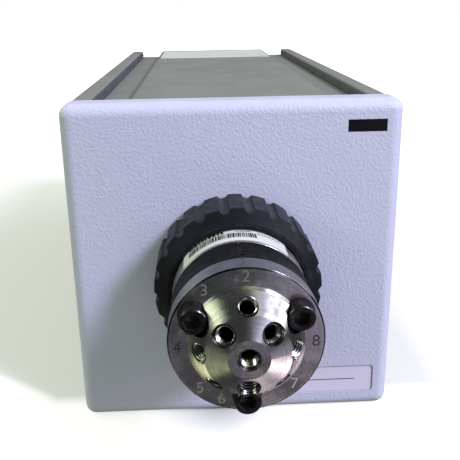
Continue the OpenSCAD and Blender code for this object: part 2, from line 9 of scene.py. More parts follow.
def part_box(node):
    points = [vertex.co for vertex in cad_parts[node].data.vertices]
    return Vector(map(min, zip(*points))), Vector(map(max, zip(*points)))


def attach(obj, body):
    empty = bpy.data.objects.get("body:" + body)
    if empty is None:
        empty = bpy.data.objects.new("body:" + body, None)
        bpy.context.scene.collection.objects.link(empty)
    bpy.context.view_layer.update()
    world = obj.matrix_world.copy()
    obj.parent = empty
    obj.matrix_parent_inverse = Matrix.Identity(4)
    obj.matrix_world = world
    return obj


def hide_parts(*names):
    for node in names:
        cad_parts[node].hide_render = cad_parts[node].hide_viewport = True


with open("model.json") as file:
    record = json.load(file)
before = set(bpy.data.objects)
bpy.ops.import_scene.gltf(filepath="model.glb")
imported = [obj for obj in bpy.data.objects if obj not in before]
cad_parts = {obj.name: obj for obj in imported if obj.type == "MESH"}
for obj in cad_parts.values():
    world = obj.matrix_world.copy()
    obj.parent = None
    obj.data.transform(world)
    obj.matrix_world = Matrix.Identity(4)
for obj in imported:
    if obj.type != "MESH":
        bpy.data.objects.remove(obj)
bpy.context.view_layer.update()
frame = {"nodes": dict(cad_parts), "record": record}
random.seed(12)

MM = 0.001


def corners(box):
    """The low and the high corner of a node's box."""
    return tuple(Vector(c) for c in box)


# ---- places, some read from the imported part and some given ----
stator_lo, stator_hi = corners(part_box("stator"))
nut_lo, nut_hi = corners(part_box("union_nut"))
plate_lo, plate_hi = corners(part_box("name_plate"))

FRONT = Vector((0, -1, 0))
AXIS = Vector((0, 0, (stator_lo.z + stator_hi.z) / 2))
COVER_FACE = corners(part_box("front_cover"))[0].y
LABEL_FRONT = corners(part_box("head_label"))[0].y
BOX_TOP = corners(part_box("housing_shell"))[1].z
CHANNEL_EDGE = 44 * MM
NUT_R = (nut_hi.x - nut_lo.x) / 2
BARREL_R = 19.5 * MM

# the stator: its centre flat, its dome over the flange, and the sealing face behind the flange
TIP_FACE = stator_lo.y
FLANGE_FACE = TIP_FACE + 9.5 * MM
SEAL_DROP = 7.3 * MM
NUMBER_CIRCLE_R = 17.6 * MM
SCREW_ANGLES = (30, 150, 270)
SCREW_CIRCLE_R = 15.3 * MM
POCKET_R = 3.9 * MM

# ports: angles, radius of their circle and height over the flange
OUTER_PORTS = ((0, 90, 180, 225, 315), 12.6 * MM, 5.4 * MM)
INNER_PORTS = ((45, 135, 270), 8.45 * MM, 8.1 * MM)
PASSAGE_CIRCLE_R = 1.95 * MM
PORT_R = 2.42 * MM
PORT_DEPTH = 7 * MM
PORT_PITCH = 0.794 * MM
MOUTH_R = 2.97 * MM
MOUTH_SLOPE = 0.55
PORT_PLAY = 0.04 * MM


def on_face(angle, radius, y):
    """A point at an angle and a radius round the valve's axis."""
    a = math.radians(angle)
    return Vector((radius * math.cos(a), y, AXIS.z + radius * math.sin(a)))


def ports():
    """Mouth and outward direction of every port."""
    spots = [(Vector((0, TIP_FACE, AXIS.z)), FRONT.copy())]
    for angles, radius, height in (OUTER_PORTS, INNER_PORTS):
        lean = math.atan((radius - PASSAGE_CIRCLE_R) / (height + SEAL_DROP))
        for angle in angles:
            outward = on_face(angle, 1, 0) - AXIS
            way = FRONT * math.cos(lean) + outward * math.sin(lean)
            spots.append((on_face(angle, radius, FLANGE_FACE - height), way))
    return spots


# ---- camera ----
CAMERA_AT = (-0.01056, COVER_FACE - 0.19914, 0.13337)
CAMERA_TURN = (("Z", -2.603), ("X", 90 - 18.668), ("Z", -0.899))
CAMERA_LENS = 52.41


def camera():
    bpy.ops.object.camera_add(location=CAMERA_AT)
    cam = bpy.context.object
    cam.rotation_mode = "QUATERNION"
    turn = Matrix.Identity(4)
    for axis, degrees in CAMERA_TURN:
        turn = turn @ Matrix.Rotation(math.radians(degrees), 4, axis)
    cam.rotation_quaternion = turn.to_quaternion()
    cam.data.sensor_width = 36
    cam.data.lens = CAMERA_LENS
    cam.data.clip_start = 0.01
    bpy.context.scene.camera = cam


camera()


# ---- finishes ----
class Nodes:
    """Short calls for the nodes of one tree, whose patterns read one set of coordinates."""

    def __init__(self, tree, coordinates):
        self.tree = tree
        self.place = self.node("TexCoord").outputs[coordinates]

    def node(self, kind, inputs=None, **settings):
        """A new node, with its settings made and its inputs linked or set."""
        n = self.tree.nodes.new("ShaderNode" + kind)
        for key, value in settings.items():
            setattr(n, key, value)
        for name, value in (inputs or {}).items():
            if isinstance(value, bpy.types.NodeSocket):
                self.tree.links.new(value, n.inputs[name])
            elif value is not None:
                n.inputs[name].default_value = value
        return n

    def math(self, kind, a, b=None, c=None):
        return self.node("Math", {0: a, 1: b, 2: c}, operation=kind).outputs[0]

    def times(self, *factors):
        """The product of two or more factors."""
        product = factors[0]
        for factor in factors[1:]:
            product = self.math("MULTIPLY", product, factor)
        return product

    def vector(self, kind, a, b=None, c=None, scale=None):
        n = self.node("VectorMath", {0: a, 1: b, 2: c, "Scale": scale}, operation=kind)
        return n.outputs["Value" if kind in ("DOT_PRODUCT", "LENGTH", "DISTANCE") else "Vector"]

    def mapped(self, scale):
        return self.node("Mapping", {"Scale": scale, "Vector": self.place}).outputs["Vector"]

    def noise(self, scale, detail=4.0, where=None):
        inputs = {"Scale": scale, "Detail": detail, "Roughness": 0.55, "Vector": where or self.place}
        return self.node("TexNoise", inputs).outputs["Fac"]

    def line_noise(self, value, scale, detail):
        """Noise along one number, such as a radius."""
        inputs = {"Scale": scale, "Detail": detail, "W": value}
        return self.node("TexNoise", inputs, noise_dimensions="1D").outputs["Fac"]

    def cells(self, scale, where=None, feature="F1"):
        inputs = {"Scale": scale, "Vector": where or self.place}
        return self.node("TexVoronoi", inputs, feature=feature).outputs["Distance"]

    def ramp(self, value, low, high, to_low=0.0, to_high=1.0):
        inputs = {"Value": value, "From Min": low, "From Max": high, "To Min": to_low, "To Max": to_high}
        return self.node("MapRange", inputs, interpolation_type="SMOOTHSTEP").outputs["Result"]

    def blotches(self, scale, detail, low, high, amount):
        """Soft patches of noise, from 0 up to an amount."""
        return self.ramp(self.noise(scale, detail), low, high, 0, amount)

    def mix(self, factor, a, b):
        return self.node("Mix", {"Factor": factor, "A": a, "B": b}, data_type="RGBA").outputs["Result"]

    def parts(self):
        """The place's X, Y and Z."""
        n = self.node("SeparateXYZ", {0: self.place})
        return n.outputs["X"], n.outputs["Y"], n.outputs["Z"]


def toned(colour, amount):
    return tuple(amount * c for c in colour)


class Finish(Nodes):
    """One material: a Principled shader under patterns in Object coordinates."""

    def __init__(self, name, colour, rough, metal=0.0):
        self.mat = bpy.data.materials.new(name)
        self.mat.use_nodes = True
        super().__init__(self.mat.node_tree, "Object")
        self.shader = self.tree.nodes["Principled BSDF"]
        self.fix("Base Color", (*colour, 1))
        self.fix("Roughness", rough)
        self.fix("Metallic", metal)

    def fix(self, name, value):
        """Sets a constant on the shader's own socket."""
        self.shader.inputs[name].default_value = value

    def join(self, name, pattern):
        """Links a pattern to one of the shader's sockets."""
        self.tree.links.new(pattern, self.shader.inputs[name])

    def tint(self, factor, colour):
        """Mixes a further colour over the base by a factor."""
        base = self.shader.inputs["Base Color"]
        under = base.links[0].from_socket if base.links else base.default_value
        self.join("Base Color", self.mix(factor, under, (*colour, 1)))

    def polish(self, factor, low, high):
        """Roughness from a factor between two values."""
        self.join("Roughness", self.ramp(factor, 0.3, 0.7, low, high))

    def relief(self, height, depth, strength=1.0):
        """Bump over what is there, its depth in metres."""
        normal = self.shader.inputs["Normal"]
        under = normal.links[0].from_socket if normal.links else None
        inputs = {"Strength": strength, "Distance": depth, "Height": height, "Normal": under}
        self.join("Normal", self.node("Bump", inputs).outputs["Normal"])

    def from_axis(self):
        """Distance from the valve's axis, and the place's X, Y and height over the axis."""
        x, y, z = self.parts()
        up = self.math("SUBTRACT", z, AXIS.z)
        radius = self.math("SQRT", self.math("ADD", self.times(x, x), self.times(up, up)))
        return radius, x, y, up

    def in_ports(self):
        """1 on the walls of the ports, the depth below the mouth, and the port's direction."""
        inside, depth, along = 0.0, 0.0, (0.0, 0.0, 0.0)
        for mouth, way in ports():
            rel = self.vector("SUBTRACT", self.place, mouth)
            height = self.vector("DOT_PRODUCT", rel, way)
            off = self.vector("LENGTH", self.vector("CROSS_PRODUCT", rel, way))
            cone = self.math("MULTIPLY_ADD", height, MOUTH_SLOPE, MOUTH_R + PORT_PLAY)
            here = self.math("LESS_THAN", off, self.math("MAXIMUM", cone, PORT_R + PORT_PLAY))
            inside = self.math("MAXIMUM", inside, here)
            depth = self.math("MAXIMUM", depth, self.times(height, here, -1.0))
            along = self.vector("ADD", along, self.vector("SCALE", way, scale=here))
        return inside, depth, along

    def in_pockets(self):
        """1 on the walls of the screw pockets and 0 elsewhere."""
        flat = self.vector("MULTIPLY", self.place, (1.0, 0.0, 1.0))
        inside = 0.0
        for angle in SCREW_ANGLES:
            off = self.vector("DISTANCE", flat, on_face(angle, SCREW_CIRCLE_R, 0))
            inside = self.math("MAXIMUM", inside, self.math("LESS_THAN", off, POCKET_R))
        return inside

    def edges(self, reach):
        """1 along sharp edges, found by rounding the normal over a short reach."""
        rounded = self.node("Bevel", {"Radius": reach}, samples=6).outputs["Normal"]
        flat = self.node("NewGeometry").outputs["Normal"]
        return self.ramp(self.vector("DOT_PRODUCT", rounded, flat), 0.995, 0.9)

    def edge_wear_and_glint(self, reach, colour, amount=1.0):
        """Paler edges, uneven along their length: partly rubbed wear, partly a painted highlight."""
        uneven = self.ramp(self.noise(600, 3), 0.35, 0.65, 0.2 * amount, amount)
        self.tint(self.times(self.edges(reach), uneven), colour)


# painted shade: colours for hollows, pockets and the depth of the bores
SHADOW = (0.02, 0.02, 0.021)
DEPTH_SHADE = (0.03, 0.03, 0.032)
SPECULAR = "Specular IOR Level"


def cover_grain():
    """Light lilac moulding with a fine leather grain and faint handling marks."""
    f = Finish("cover_grain", (0.50, 0.50, 0.66), 0.5)
    fine = f.noise(2600, 3)
    f.tint(f.blotches(14, 5, 0.45, 0.75, 0.22), (0.45, 0.45, 0.58))
    f.tint(f.ramp(fine, 0.5, 0.75, 0, 0.12), (0.40, 0.40, 0.52))
    f.polish(f.noise(90, 4), 0.42, 0.6)
    f.relief(f.noise(420, 2), 0.12 * MM, 0.4)
    f.relief(f.cells(1350, feature="SMOOTH_F1"), 0.17 * MM, 0.8)
    f.relief(fine, 0.07 * MM, 0.6)
    return f


def box_paint():
    """Mid grey fine-textured paint on the box: scuffed, with painted shade down the rails' inner walls,
    dusty near the front.
    """
    f = Finish("box_paint", (0.216, 0.217, 0.208), 0.55)
    f.fix(SPECULAR, 0.28)
    f.tint(f.ramp(f.noise(9, 6, f.mapped((3, 0.5, 3))), 0.42, 0.7, 0, 0.4), (0.19, 0.195, 0.2))
    f.tint(f.ramp(f.noise(700, 2, f.mapped((6, 0.35, 6))), 0.66, 0.74, 0, 0.35), (0.36, 0.36, 0.37))
    x, y, z = f.parts()
    # painted shade: a dark blue-grey band down the inner walls of the rails
    side = f.math("ABSOLUTE", x)
    corner = f.times(f.ramp(side, CHANNEL_EDGE - 0.9 * MM, CHANNEL_EDGE - 0.3 * MM),
                     f.ramp(side, CHANNEL_EDGE + 0.7 * MM, CHANNEL_EDGE + 0.5 * MM))
    sunk = f.times(f.ramp(z, BOX_TOP - 0.2 * MM, BOX_TOP - 0.7 * MM),
                   f.ramp(z, BOX_TOP - 5 * MM, BOX_TOP - 4 * MM))
    f.tint(f.times(corner, sunk, 0.75), (0.035, 0.034, 0.05))
    dust = f.times(f.ramp(f.cells(430), 0.16, 0.1), f.ramp(f.noise(160, 3), 0.5, 0.62))
    f.tint(f.times(dust, f.ramp(y, -45 * MM, -88 * MM)), (0.5, 0.5, 0.5))
    f.polish(f.noise(60, 5), 0.38, 0.58)
    f.relief(f.noise(2400, 3), 0.06 * MM, 0.7)
    return f


def nut_plastic():
    """Black moulding: rubbed grey lands, flutes that hold dust and a cleaner cone."""
    f = Finish("nut_plastic", (0.008, 0.0085, 0.012), 0.45)
    f.fix(SPECULAR, 0.09)
    radius, x, y, up = f.from_axis()
    flutes = f.ramp(radius, NUT_R - 0.3 * MM, NUT_R - 1.0 * MM)
    behind_cone = f.ramp(y, nut_lo.y + 3.6 * MM, nut_lo.y + 5.6 * MM)
    rim = f.times(behind_cone, f.ramp(radius, NUT_R - 2.6 * MM, NUT_R - 2.0 * MM))
    f.tint(f.times(rim, f.ramp(f.noise(420, 5), 0.3, 0.7, 0.55, 1.0)), (0.024, 0.026, 0.036))
    specks = f.ramp(f.noise(1500, 4), 0.35, 0.7, 0.35, 1.0)
    f.tint(f.times(flutes, rim, specks), (0.052, 0.050, 0.052))
    f.tint(f.blotches(220, 5, 0.55, 0.78, 0.3), (0.03, 0.03, 0.034))
    # rubbed wear and a painted highlight along the sharp edges
    f.edge_wear_and_glint(0.4 * MM, (0.05, 0.052, 0.064), 0.7)
    f.polish(f.noise(300, 4), 0.38, 0.58)
    f.relief(f.noise(2600, 3), 0.05 * MM, 0.6)
    return f


def ring_plastic():
    """Black satin plastic of the ring behind the stator, with faint turning lines."""
    f = Finish("ring_plastic", (0.0045, 0.0045, 0.005), 0.34)
    f.fix(SPECULAR, 0.05)
    f.tint(f.blotches(180, 5, 0.5, 0.75, 0.25), (0.014, 0.014, 0.015))
    # rubbed wear and a painted highlight along the sharp edges
    f.edge_wear_and_glint(0.3 * MM, (0.09, 0.09, 0.095), 0.6)
    f.polish(f.noise(400, 4), 0.33, 0.5)
    f.relief(f.noise(900, 3, f.mapped((0.02, 4, 0.02))), 0.04 * MM, 0.5)
    return f


def turned(name, colour, rough, ring_depth, spread, bored=False):
    """Turned stainless steel: fine rings round the valve's axis draw the light out along the radius.

    In the ports the rings run round each port instead; painted shade darkens the bores with depth, their
    inner edges, the screw pockets and the flange's chamfer and side, and a painted highlight lines the
    outer edges.
    """
    f = Finish(name, colour, rough, 1.0)
    radius, x, y, up = f.from_axis()
    drawn = f.node("CombineXYZ", {"X": x, "Y": 0.002, "Z": up}).outputs["Vector"]
    if bored:
        inside, depth, along = f.in_ports()
        outside = f.math("SUBTRACT", 1.0, inside)
        drawn = f.vector("ADD", f.vector("SCALE", drawn, scale=outside), along)
    world_way = f.node("VectorTransform", {"Vector": drawn}, vector_type="VECTOR",
                       convert_from="OBJECT", convert_to="WORLD")
    f.join("Tangent", world_way.outputs["Vector"])
    f.fix("Anisotropic", spread)
    across = f.math("ADD", radius, f.times(y, 0.83))
    rings = f.line_noise(across, 4200, 2)
    f.tint(f.blotches(130, 6, 0.48, 0.75, 0.2), toned(colour, 0.75))
    f.tint(f.ramp(rings, 0.5, 0.8, 0, 0.22), toned(colour, 0.6))
    f.tint(f.ramp(f.line_noise(across, 1300, 2), 0.42, 0.66, 0, 0.3), toned(colour, 0.5))
    if bored:
        edges = f.edges(0.22 * MM)
        # painted highlight along the outer edges
        f.tint(f.times(edges, outside), (0.8, 0.8, 0.8))
        # painted shade on the flange's chamfer and its side
        f.tint(f.ramp(radius, 19.55 * MM, 19.68 * MM), toned(colour, 0.03))
        f.tint(f.ramp(radius, 19.93 * MM, 19.97 * MM), toned(colour, 0.4))
        # painted shade in the screw pockets
        f.tint(f.times(f.in_pockets(), 0.75), SHADOW)
        # cutting marks down the bores as stripes over painted shade, then painted shade deeper down and
        # on their inner edges
        turns = f.math("SINE", f.times(depth, 2 * math.pi / (0.5 * MM)))
        marks = f.ramp(turns, -0.9, 0.3, 0.35, 0.95)
        f.tint(f.times(marks, f.ramp(depth, 0.0, 0.12 * MM)), DEPTH_SHADE)
        f.tint(f.ramp(depth, 0.8 * MM, 1.5 * MM, 0, 0.94), SHADOW)
        f.tint(f.times(edges, inside), SHADOW)
    f.polish(f.noise(240, 5), rough - 0.04, rough + 0.06)
    f.relief(rings, ring_depth, 0.4)
    return f


def black_oxide():
    """Oiled black oxide on the cap screws, worn brown-grey on the corners, with painted highlights as
    glints along the edges.
    """
    f = Finish("black_oxide", (0.004, 0.004, 0.0045), 0.24)
    f.tint(f.blotches(500, 5, 0.5, 0.75, 0.4), (0.02, 0.018, 0.017))
    # rubbed wear and painted highlights as glints along the sharp edges
    f.edge_wear_and_glint(0.12 * MM, (0.13, 0.125, 0.12), 0.7)
    f.polish(f.noise(700, 4), 0.18, 0.34)
    f.relief(f.noise(3000, 2), 0.02 * MM, 0.6)
    return f


def label_film(name, colour):
    """Printed film: satin, slightly uneven in tone, with a little ripple."""
    f = Finish(name, colour, 0.38)
    f.tint(f.blotches(40, 4, 0.45, 0.75, 0.3), toned(colour, 0.9))
    f.polish(f.noise(120, 4), 0.3, 0.46)
    f.relief(f.noise(160, 2), 0.08 * MM, 0.4)
    return f


def dark_window():
    """Smoked window, glossy with hairline scratches."""
    f = Finish("dark_window", (0.005, 0.005, 0.006), 0.12)
    f.fix(SPECULAR, 0.25)
    f.polish(f.noise(900, 3, f.mapped((1, 1, 8))), 0.08, 0.22)
    f.relief(f.noise(90, 2), 0.03 * MM, 0.4)
    return f


def plain(name, colour, rough, metal=0.0, grain=1500, depth=0.04 * MM):
    """A worked surface with fine grain and uneven tone, for small, inner and rear pieces."""
    f = Finish(name, colour, rough, metal)
    f.tint(f.blotches(120, 5, 0.45, 0.75, 0.3), toned(colour, 0.6))
    f.polish(f.noise(300, 4), max(0.05, rough - 0.08), rough + 0.1)
    f.relief(f.noise(grain, 3), depth, 0.6)
    return f


def board_laminate():
    """Green solder mask with faint tracks."""
    f = Finish("board_laminate", (0.02, 0.11, 0.05), 0.35)
    tracks = f.cells(420, f.mapped((0.2, 1, 1)), "DISTANCE_TO_EDGE")
    f.tint(f.ramp(tracks, 0.06, 0.02, 0, 0.7), (0.04, 0.2, 0.09))
    f.polish(f.noise(500, 3), 0.28, 0.45)
    f.relief(f.noise(1300, 2), 0.03 * MM, 0.5)
    return f


finishes = {
    "cover_plastic": cover_grain(),
    "box_paint": box_paint(),
    "dark_window": dark_window(),
    "label_film": label_film("label_film", (0.61, 0.605, 0.61)),
    "board_laminate": board_laminate(),
    "board_components": plain("board_components", (0.03, 0.03, 0.032), 0.4),
    "bright_steel": turned("bright_steel", (0.60, 0.595, 0.585), 0.24, 0.02 * MM, 0.75),
    "black_oxide": black_oxide(),
    "zinc_steel": plain("zinc_steel", (0.56, 0.56, 0.58), 0.32, 1.0),
    "bearing_steel": plain("bearing_steel", (0.6, 0.6, 0.61), 0.2, 1.0),
    "gear_steel": plain("gear_steel", (0.4, 0.4, 0.41), 0.3, 1.0),
    "aluminium_parts": plain("aluminium_parts", (0.62, 0.63, 0.64), 0.38, 1.0),
    "motor_iron": plain("motor_iron", (0.16, 0.16, 0.17), 0.5, 0.9, 3000, 0.08 * MM),
    "bearing_polymer": plain("bearing_polymer", (0.62, 0.53, 0.36), 0.45),
    "black_plastic": plain("black_plastic", (0.024, 0.024, 0.026), 0.45),
}
own_finish = {
    "stator": turned("stator_steel", (0.67, 0.665, 0.65), 0.24, 0.02 * MM, 0.75, bored=True),
    "union_nut": nut_plastic(),
    "stator_ring": ring_plastic(),
    "name_plate": label_film("plate_film", (0.62, 0.57, 0.74)),
    "head_body": turned("barrel_steel", (0.56, 0.56, 0.55), 0.3, 0.02 * MM, 0.6),
}
# three copies of one etched finish in painted light and shade: pale where lit, dark where shaded
etched = {tone: plain(f"etched_{tone}", toned((1, 0.97, 0.94), grey), 0.6)
          for tone, grey in (("pale", 0.36), ("mid", 0.13), ("dark", 0.03))}
ink = plain("label_ink", (0.012, 0.012, 0.014), 0.5)
contact_gold = plain("contact_gold", (0.78, 0.58, 0.24), 0.25, 1.0)
thread_steel = plain("thread_steel", (0.62, 0.62, 0.60), 0.24, 1.0, 4000, 0.01 * MM)
# painted shade: the threads darken deeper down the ports
thread_depth = thread_steel.in_ports()[1]
thread_steel.tint(thread_steel.ramp(thread_depth, 2.6 * MM, 5.0 * MM, 0, 0.95), DEPTH_SHADE)

slot_of = {s["node"]: s["material_slot"] for s in frame["record"]["subparts"]}
for node, obj in frame["nodes"].items():
    finish = own_finish.get(node) or finishes[slot_of[node]]
    for spot in obj.material_slots:
        spot.material = finish.mat


# ---- modelling helpers ----
def start():
    """Object mode, with nothing selected."""
    if bpy.context.object and bpy.context.object.mode != "OBJECT":
        bpy.ops.object.mode_set(mode="OBJECT")
    bpy.ops.object.select_all(action="DESELECT")


def pick(obj):
    start()
    obj.select_set(True)
    bpy.context.view_layer.objects.active = obj


def pick_faces(obj, wanted):
    """Edit mode with only the faces selected whose middle and normal are wanted."""
    pick(obj)
    bpy.ops.object.mode_set(mode="EDIT")
    bpy.ops.mesh.select_mode(type="FACE")
    bpy.ops.mesh.select_all(action="DESELECT")
    bpy.ops.object.mode_set(mode="OBJECT")
    for face in obj.data.polygons:
        face.select = bool(wanted(face.center, face.normal))
    bpy.ops.object.mode_set(mode="EDIT")


def draw_out(*move):
    """Extrudes the faces that are picked and moves them."""
    bpy.ops.mesh.extrude_region_move()
    bpy.ops.transform.translate(value=move)


def apply_place(location=True, rotation=True, scale=True):
    bpy.ops.object.transform_apply(location=location, rotation=rotation, scale=scale)


def cylinder(radius, depth, vertices, **place):
    """A round bar to be shaped further."""
    start()
    bpy.ops.mesh.primitive_cylinder_add(radius=radius, depth=depth, vertices=vertices, **place)
    return bpy.context.object


def block(size, at=(0, 0, 0)):
    """A straight bar to be shaped further."""
    start()
    bpy.ops.mesh.primitive_cube_add(size=1, location=at)
    bar = bpy.context.object
    bar.scale = size
    apply_place(location=False, rotation=False)
    return bar


def modify(obj, kind, **settings):
    """Adds a modifier and applies it."""
    pick(obj)
    mod = obj.modifiers.new(kind.lower(), kind)
    for key, value in settings.items():
        setattr(mod, key, value)
    bpy.ops.object.modifier_apply(modifier=mod.name)


def soften(obj, width, segments=2):
    """Bevels the sharp edges only."""
    modify(obj, "BEVEL", width=width, segments=segments, limit_method="ANGLE",
           angle_limit=math.radians(50))


def settle(obj, name, finish, body, smooth=30):
    """Applies the place, names the piece and gives it its finish and its body."""
    pick(obj)
    apply_place()
    bpy.ops.object.mode_set(mode="EDIT")
    bpy.ops.mesh.select_all(action="SELECT")
    bpy.ops.mesh.normals_make_consistent(inside=False)
    bpy.ops.object.mode_set(mode="OBJECT")
    bpy.ops.object.shade_smooth_by_angle(angle=math.radians(smooth))
    obj.name = name
    obj.data.materials.clear()
    obj.data.materials.append(finish.mat)
    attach(obj, body)
    return obj


def copy_of(obj):
    twin = obj.copy()
    twin.data = obj.data.copy()
    bpy.context.collection.objects.link(twin)
    return twin


def aim(obj, at, towards, roll=0.0):
    """Turns local +Z towards a direction and moves the piece there."""
    turn = towards.to_track_quat("Z", "Y").to_matrix().to_4x4() @ Matrix.Rotation(roll, 4, "Z")
    obj.matrix_world = Matrix.Translation(at) @ turn @ obj.matrix_world


# ---- port threads ----
RIDGE_TURNS = 7
RIDGE_STEPS = 28
RIDGE_SIZE = (0.25 * MM, 0.2 * MM, 1)
RIDGE_SUNK = 0.14 * MM
RIDGE_END = 0.4 * MM


def thread_ridge():
    """One helical ridge, its mouth end at z = 0, running down the port."""
    start()
    bpy.ops.mesh.primitive_circle_add(vertices=4, radius=1, fill_type="NOTHING", location=(0, 0, 0),
                                      rotation=(math.pi / 2, 0, 0))
    ridge = bpy.context.object
    ridge.scale = RIDGE_SIZE
    apply_place(location=False)
    ridge.location = (PORT_R - RIDGE_SUNK, 0, -PORT_DEPTH + RIDGE_END)
    apply_place(rotation=False, scale=False)
    modify(ridge, "SCREW", angle=2 * math.pi, screw_offset=PORT_PITCH, iterations=RIDGE_TURNS,
           steps=RIDGE_STEPS, render_steps=RIDGE_STEPS, axis="Z", use_merge_vertices=False)
    pick(ridge)
    bpy.ops.object.mode_set(mode="EDIT")
    bpy.ops.mesh.select_mode(type="EDGE")
    bpy.ops.mesh.select_all(action="DESELECT")
    bpy.ops.mesh.select_non_manifold()
    bpy.ops.mesh.edge_face_add()
    bpy.ops.object.mode_set(mode="OBJECT")
    return ridge


ridge = thread_ridge()
for n, (mouth, way) in enumerate(ports()):
    thread = copy_of(ridge)
    aim(thread, mouth, way, 0.7 * n)
    settle(thread, f"port_thread_{n}", thread_steel, "valve_head", 40)
bpy.data.objects.remove(ridge)


# ---- knurled cap screws ----
HEAD_R = 3.5 * MM
HEAD_H = 4 * MM
KNURL_H = 3.5 * MM
SHANK_R = 2 * MM
SHANK_LEN = 27.4 * MM
SOCKET_R = 2.25 * MM
SOCKET_DEPTH = 2.6 * MM
RIBS = 36


def cap_screw():
    """A socket cap screw, its seat at z = 0: knurled head, hexagon socket, plain shank."""

    def every_other_side(c, n):
        step = int(math.degrees(math.atan2(c.y, c.x)) % 360 * RIBS / 180)
        return abs(n.z) < 0.5 and step % 2

    def end_face(way):
        return lambda c, n: n.z * way > 0.9 and Vector((c.x, c.y)).length < MM

    head = cylinder(HEAD_R - 0.02 * MM, KNURL_H, 2 * RIBS, location=(0, 0, KNURL_H / 2))
    apply_place()
    pick_faces(head, every_other_side)
    bpy.ops.mesh.inset(thickness=0.05 * MM, depth=-0.16 * MM, use_individual=True)
    pick_faces(head, end_face(1))
    draw_out(0, 0, 0.22 * MM)
    draw_out(0, 0, 0.26 * MM)
    bpy.ops.transform.resize(value=(0.91, 0.91, 1))
    bpy.ops.mesh.inset(thickness=0.3 * MM, depth=0)
    pick_faces(head, end_face(-1))
    bpy.ops.mesh.inset(thickness=HEAD_R - SHANK_R, depth=0)
    draw_out(0, 0, -SHANK_LEN)

    key = cylinder(SOCKET_R, 2 * SOCKET_DEPTH, 6, location=(0, 0, HEAD_H))
    apply_place()
    modify(head, "BOOLEAN", operation="DIFFERENCE", object=key, solver="EXACT")
    bpy.data.objects.remove(key)
    soften(head, 0.06 * MM)
    return head


screw = cap_screw()
for n, angle in enumerate(SCREW_ANGLES):
    piece = copy_of(screw)
    aim(piece, on_face(angle, SCREW_CIRCLE_R, FLANGE_FACE), FRONT, 0.35 * n)
    settle(piece, f"stator_screw_{n + 1}", finishes["black_oxide"],
                         "valve_head")
bpy.data.objects.remove(screw)
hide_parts("stator_screws")


# ---- numbers etched round the stator ----
NUMBER_SIZE = 4.4 * MM
# number, angle round the flange, tone: lit pale or shaded dark copies of one etched finish, painted
# light and shade
NUMBERS = (("1", 54, "mid"), ("2", 90, "mid"), ("3", 126, "mid"), ("4", 184, "dark"),
           ("5", 227, "pale"), ("6", 248, "pale"), ("7", 314, "pale"), ("8", -2, "dark"))


def numeral(text, at):
    start()
    bpy.ops.object.text_add(location=at, rotation=(math.pi / 2, 0, 0))
    mark = bpy.context.object
    mark.data.body = text
    mark.data.size = NUMBER_SIZE
    mark.data.align_x = "CENTER"
    mark.data.align_y = "CENTER"
    mark.data.extrude = 0.015 * MM
    mark.data.resolution_u = 4
    bpy.ops.object.convert(target="MESH")
    bpy.ops.object.mode_set(mode="EDIT")
    bpy.ops.mesh.select_all(action="SELECT")
    bpy.ops.mesh.remove_doubles(threshold=0.001 * MM)
    bpy.ops.object.mode_set(mode="OBJECT")
    return bpy.context.object


for text, angle, tone in NUMBERS:
    mark = numeral(text, on_face(angle, NUMBER_CIRCLE_R, FLANGE_FACE - 0.01 * MM))
    settle(mark, f"port_number_{text}", etched[tone], "valve_head")


# ---- bars on the head's label ----
LABEL_ROWS = (
    # name, way back from the label's front, depth, first and last angle, bar widths, gaps
    ("label_bars", 4.2 * MM, 3.6 * MM, 76.0, 136.0, (0.5, 0.75, 1.0, 1.5), (0.5, 0.5, 0.75, 1.0)),
    ("label_dashes", 7.6 * MM, 2.2 * MM, 103.0, 134.0, (1.75, 2.25, 3.0), (0.75, 1.0)),
    ("label_lines_1", 7.2 * MM, 0.6 * MM, 80.0, 92.0, (1.0, 1.75, 2.5), (0.5, 0.75)),
    ("label_lines_2", 6.3 * MM, 0.5 * MM, 54.0, 74.0, (1.0, 1.75, 2.5), (0.5, 0.75)),
)


def bar_row(name, back, depth, angle, last, widths, gaps):
    """A row of plain bars round the barrel's label, which encode nothing."""
    bars = cylinder(BARREL_R + 0.14 * MM, depth, 1440, end_fill_type="NOTHING",
                    location=(0, LABEL_FRONT + back, AXIS.z), rotation=(math.pi / 2, 0, 0))
    apply_place()
    spans = []
    while angle < last:
        width = random.choice(widths)
        spans.append((angle, angle + width))
        angle += width + random.choice(gaps)

    def blank(c, n):
        a = math.degrees(math.atan2(c.z - AXIS.z, c.x)) % 360
        return not any(low <= a < high for low, high in spans)

    pick_faces(bars, blank)
    bpy.ops.mesh.delete(type="FACE")
    bpy.ops.object.mode_set(mode="OBJECT")
    modify(bars, "SOLIDIFY", thickness=0.03 * MM, offset=1)
    settle(bars, name, ink, "valve_head")


for row in LABEL_ROWS:
    bar_row(*row)


# ---- rule on the plate at the lower right ----
def plate_rule():
    """One dark line across the blank plate."""
    left = plate_lo.x + 1.5 * MM
    right = plate_hi.x - 6.1 * MM
    height = (plate_lo.z + plate_hi.z) / 2 - 0.25 * MM
    rule = block((right - left, 0.03 * MM, 0.3 * MM),
                 ((left + right) / 2, plate_lo.y - 0.01 * MM, height))
    modify(rule, "BEVEL", width=0.01 * MM, segments=1)
    settle(rule, "plate_rule", ink, "drive")


plate_rule()


# ---- contacts in the rear sockets ----
WIRES = 8
WIRE_PITCH = 1.02 * MM


def picks_rear(c, n):
    return n.y > 0.9


